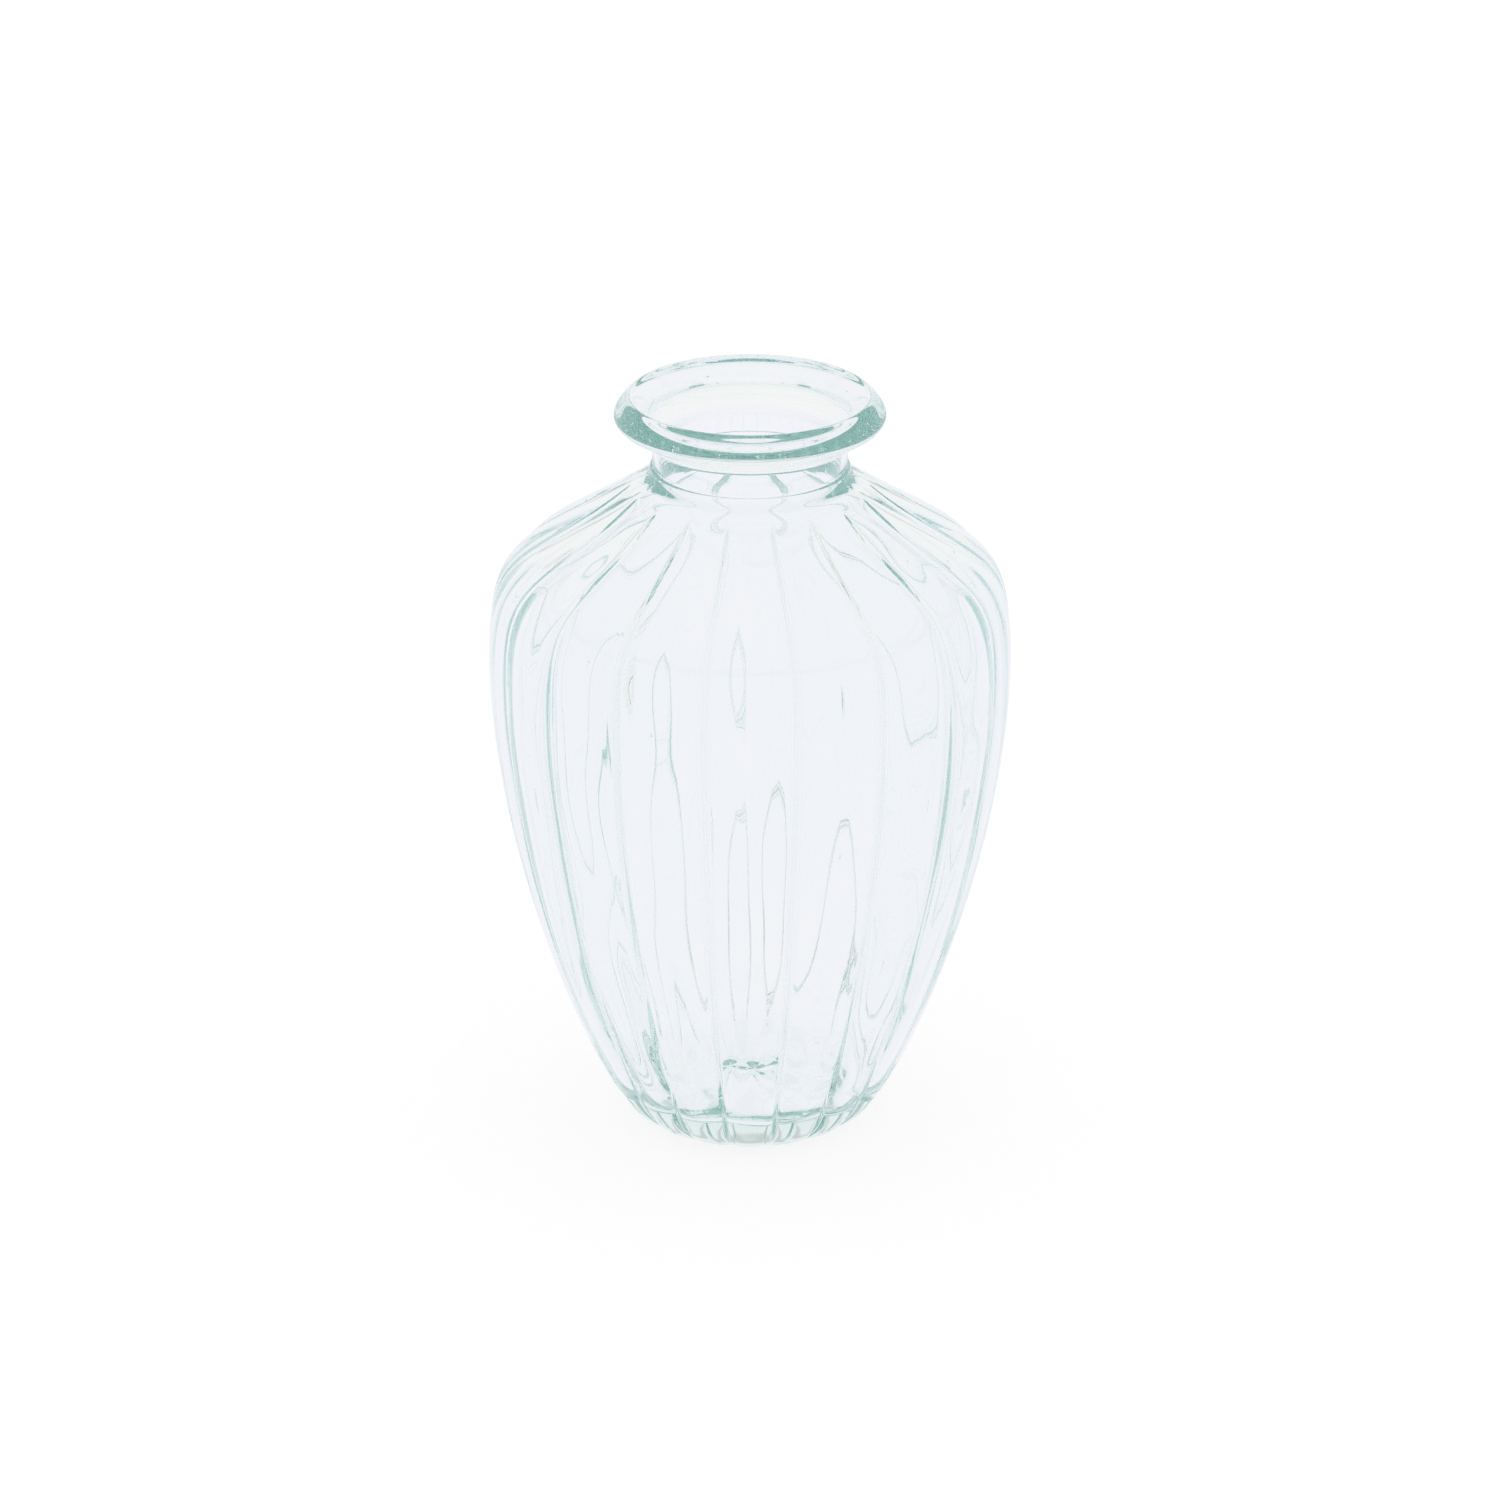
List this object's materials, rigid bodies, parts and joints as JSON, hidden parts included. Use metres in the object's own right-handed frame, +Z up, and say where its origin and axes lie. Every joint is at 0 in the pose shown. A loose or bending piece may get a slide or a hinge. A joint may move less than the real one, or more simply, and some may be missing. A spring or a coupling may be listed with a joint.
{
  "type": "glass bud vase",
  "caption": "Small clear glass bud vase: lobed ovoid body tapering to a rounded foot, short straight neck and thick rolled lip.",
  "frame": {"origin": "centre of the flat resting ring, on the surface that the vase stands on", "axes": "+Z up along the axis of the vase, out of the mouth; one lobe of the body faces -Y"},
  "size_m": [0.0738, 0.0746, 0.11],
  "materials": {
    "clear_glass": "fire-polished clear soda-lime glass, faintly green where it is thick"
  },
  "bodies": {
    "root": {"foot": "clear_glass", "base": "clear_glass", "lower_wall": "clear_glass", "belly_wall": "clear_glass", "shoulder": "clear_glass", "neck_root": "clear_glass", "neck": "clear_glass", "lip": "clear_glass"}
  },
  "joints": []
}
